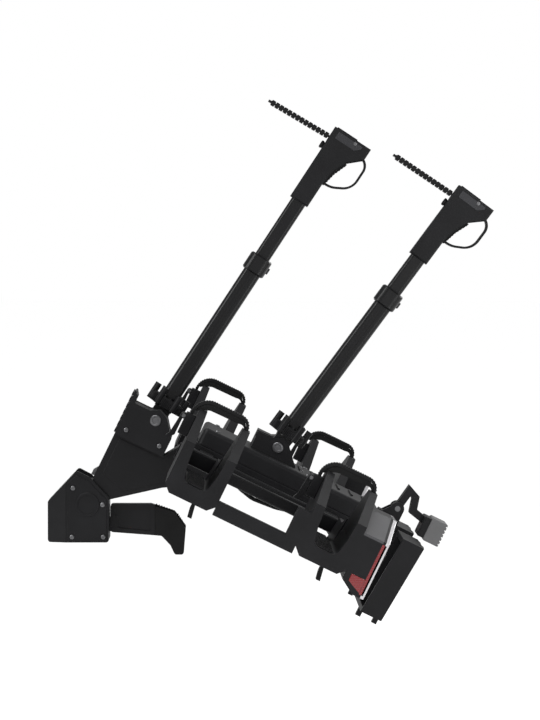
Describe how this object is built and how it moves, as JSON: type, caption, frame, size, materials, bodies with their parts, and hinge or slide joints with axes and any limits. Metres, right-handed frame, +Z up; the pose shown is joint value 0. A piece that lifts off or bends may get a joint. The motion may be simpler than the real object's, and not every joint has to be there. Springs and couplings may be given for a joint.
{
  "type": "towball bike rack",
  "caption": "Towball-mounted tilting platform rack for bicycles, with folding wheel-channel wings, telescoping frame arms, lamps and a number plate holder.",
  "frame": {"origin": "centre of the towball, in the socket of the coupling", "axes": "+X rearward from the car, +Y to the right of the car, +Z up"},
  "size_m": [0.8007, 1.3, 0.9297],
  "materials": {
    "black_plastic": "moulded black glass-filled plastic, fine satin grain",
    "black_paint": "black powder coat on steel",
    "black_anodised": "black coated aluminium extrusion with a long groove",
    "steel": "zinc-plated steel",
    "black_rubber": "soft matte rubber",
    "strap_plastic": "flexible toothed black strap",
    "grey_plastic": "dark grey moulded plastic",
    "red_lens": "ribbed clear-coated red lamp lens",
    "gloss_button": "smooth black button"
  },
  "bodies": {
    "coupling": {"coupling_housing": "black_plastic", "ball_cup": "steel", "tilt_pin": "black_plastic", "lever_pin": "steel"},
    "lever": {"clamp_lever": "black_paint", "lever_grip": "black_rubber"},
    "jaw": {"clamp_jaw": "steel"},
    "platform": {"tilt_neck": "black_paint", "platform_frame": "black_paint", "beam_cover": "black_plastic", "arm_base_front": "black_plastic", "arm_base_rear": "black_plastic", "pivot_pins": "steel", "plate_holder": "black_plastic", "pedal_post": "black_plastic", "lamp_cable": "black_rubber", "frame_screws": "steel"},
    "latch": {"latch_hook": "steel"},
    "pedal": {"foot_pedal": "black_plastic", "pedal_pad": "grey_plastic"},
    "wing_left": {"tray_front_left": "black_plastic", "tray_rear_left": "black_plastic", "wing_frame_left": "black_paint", "outer_rail_left": "black_plastic", "lamp_housing_left": "black_plastic", "lamp_lens_left": "red_lens", "lamp_cover_left": "grey_plastic", "strap_front_left": "strap_plastic", "strap_rear_left": "strap_plastic", "buckle_front_left": "black_plastic", "buckle_rear_left": "black_plastic"},
    "flap_front_left": {"flap_front_left": "black_plastic"},
    "flap_rear_left": {"flap_rear_left": "black_plastic"},
    "wing_right": {"tray_front_right": "black_plastic", "tray_rear_right": "black_plastic", "wing_frame_right": "black_paint", "outer_rail_right": "black_plastic", "lamp_housing_right": "black_plastic", "lamp_lens_right": "red_lens", "lamp_cover_right": "grey_plastic", "strap_front_right": "strap_plastic", "strap_rear_right": "strap_plastic", "buckle_front_right": "black_plastic", "buckle_rear_right": "black_plastic"},
    "flap_front_right": {"flap_front_right": "black_plastic"},
    "flap_rear_right": {"flap_rear_right": "black_plastic"},
    "arm_front": {"arm_tube_front": "black_anodised"},
    "nut_front": {"lock_nut_front": "black_plastic"},
    "button_front": {"lock_button_front": "gloss_button"},
    "upper_front": {"upper_tube_front": "black_anodised"},
    "head_front": {"frame_head_front": "black_plastic", "frame_band_front": "strap_plastic"},
    "release_front": {"strap_release_front": "black_plastic"},
    "arm_rear": {"arm_tube_rear": "black_anodised"},
    "nut_rear": {"lock_nut_rear": "black_plastic"},
    "button_rear": {"lock_button_rear": "gloss_button"},
    "upper_rear": {"upper_tube_rear": "black_anodised"},
    "head_rear": {"frame_head_rear": "black_plastic", "frame_band_rear": "strap_plastic"},
    "release_rear": {"strap_release_rear": "black_plastic"}
  },
  "joints": [
    {"name": "tilt", "type": "hinge", "parent": "coupling", "child": "platform", "pos_m": [0.0195, 0, 0.042], "axis": [0, 1, 0], "range_deg": [-30, 0]},
    {"name": "lever_swing", "type": "hinge", "parent": "coupling", "child": "lever", "pos_m": [0.046, 0, 0.004], "axis": [0, 1, 0], "range_deg": [0, 55]},
    {"name": "jaw_slide", "type": "slide", "parent": "coupling", "child": "jaw", "axis": [1, 0, 0], "range_m": [0, 0.002]},
    {"name": "pedal_press", "type": "hinge", "parent": "platform", "child": "pedal", "pos_m": [0.57774, 0, 0.0323], "axis": [0, 1, 0], "range_deg": [0, 15], "stiffness_Nm_per_rad": 6, "springref_deg": -8.59},
    {"name": "latch_turn", "type": "hinge", "parent": "platform", "child": "latch", "pos_m": [0.05713, 0, 0.126], "axis": [0, 1, 0], "range_deg": [0, 10]},
    {"name": "wing_fold_left", "type": "hinge", "parent": "platform", "child": "wing_left", "pos_m": [0.33762, -0.174, 0.07376], "axis": [-0.8988, 0, 0.4384], "range_deg": [0, 90]},
    {"name": "flap_lift_front_left", "type": "hinge", "parent": "wing_left", "child": "flap_front_left", "pos_m": [0.19794, -0.512, 0.22422], "axis": [0, 1, 0], "range_deg": [0, 110]},
    {"name": "flap_lift_rear_left", "type": "hinge", "parent": "wing_left", "child": "flap_rear_left", "pos_m": [0.41005, -0.512, 0.12076], "axis": [0, 1, 0], "range_deg": [0, 110]},
    {"name": "wing_fold_right", "type": "hinge", "parent": "platform", "child": "wing_right", "pos_m": [0.33762, 0.174, 0.07376], "axis": [0.8988, 0, -0.4384], "range_deg": [0, 90]},
    {"name": "flap_lift_front_right", "type": "hinge", "parent": "wing_right", "child": "flap_front_right", "pos_m": [0.19794, 0.512, 0.22422], "axis": [0, 1, 0], "range_deg": [0, 110]},
    {"name": "flap_lift_rear_right", "type": "hinge", "parent": "wing_right", "child": "flap_rear_right", "pos_m": [0.41005, 0.512, 0.12076], "axis": [0, 1, 0], "range_deg": [0, 110]},
    {"name": "arm_swing_front", "type": "hinge", "parent": "platform", "child": "arm_front", "pos_m": [0.14234, 0.036, 0.19348], "axis": [0, -1, 0], "range_deg": [-40, 12]},
    {"name": "nut_turn_front", "type": "hinge", "parent": "arm_front", "child": "nut_front", "pos_m": [0.16045, 0.036, 0.22106], "axis": [0.549, 0, 0.8358], "range_deg": [0, 60]},
    {"name": "button_press_front", "type": "slide", "parent": "arm_front", "child": "button_front", "axis": [-0.8358, 0, 0.549], "range_m": [0, 0.002], "stiffness_N_per_m": 300, "springref_m": -0.002},
    {"name": "arm_length_front", "type": "slide", "parent": "arm_front", "child": "upper_front", "axis": [0.549, 0, 0.8358], "range_m": [-0.11, 0.1]},
    {"name": "head_turn_front", "type": "hinge", "parent": "upper_front", "child": "head_front", "pos_m": [0.43332, 0.036, 0.63646], "axis": [-0.549, 0, -0.8358], "range_deg": [0, 180]},
    {"name": "release_lift_front", "type": "hinge", "parent": "head_front", "child": "release_front", "pos_m": [0.5046, 0.036, 0.69397], "axis": [0, 1, 0], "range_deg": [0, 25], "stiffness_Nm_per_rad": 0.3, "springref_deg": -17.19},
    {"name": "arm_swing_rear", "type": "hinge", "parent": "platform", "child": "arm_rear", "pos_m": [0.36107, -0.036, 0.14466], "axis": [0, -1, 0], "range_deg": [-40, 12]},
    {"name": "nut_turn_rear", "type": "hinge", "parent": "arm_rear", "child": "nut_rear", "pos_m": [0.38075, -0.036, 0.17115], "axis": [0.5962, 0, 0.8028], "range_deg": [0, 60]},
    {"name": "button_press_rear", "type": "slide", "parent": "arm_rear", "child": "button_rear", "axis": [-0.8028, 0, 0.5962], "range_m": [0, 0.002], "stiffness_N_per_m": 300, "springref_m": -0.002},
    {"name": "arm_length_rear", "type": "slide", "parent": "arm_rear", "child": "upper_rear", "axis": [0.5962, 0, 0.8028], "range_m": [-0.06, 0.1]},
    {"name": "head_turn_rear", "type": "hinge", "parent": "upper_rear", "child": "head_rear", "pos_m": [0.64845, -0.036, 0.53161], "axis": [0.5962, 0, 0.8028], "range_deg": [0, 180]},
    {"name": "release_lift_rear", "type": "hinge", "parent": "head_rear", "child": "release_rear", "pos_m": [0.72292, -0.036, 0.58492], "axis": [0, 1, 0], "range_deg": [0, 25], "stiffness_Nm_per_rad": 0.3, "springref_deg": -17.19}
  ],
  "couplings": [
    {"joint": "jaw_slide", "follows": "lever_swing", "m_per_rad": 0.00208},
    {"joint": "latch_turn", "follows": "pedal_press", "ratio": 0.6}
  ]
}
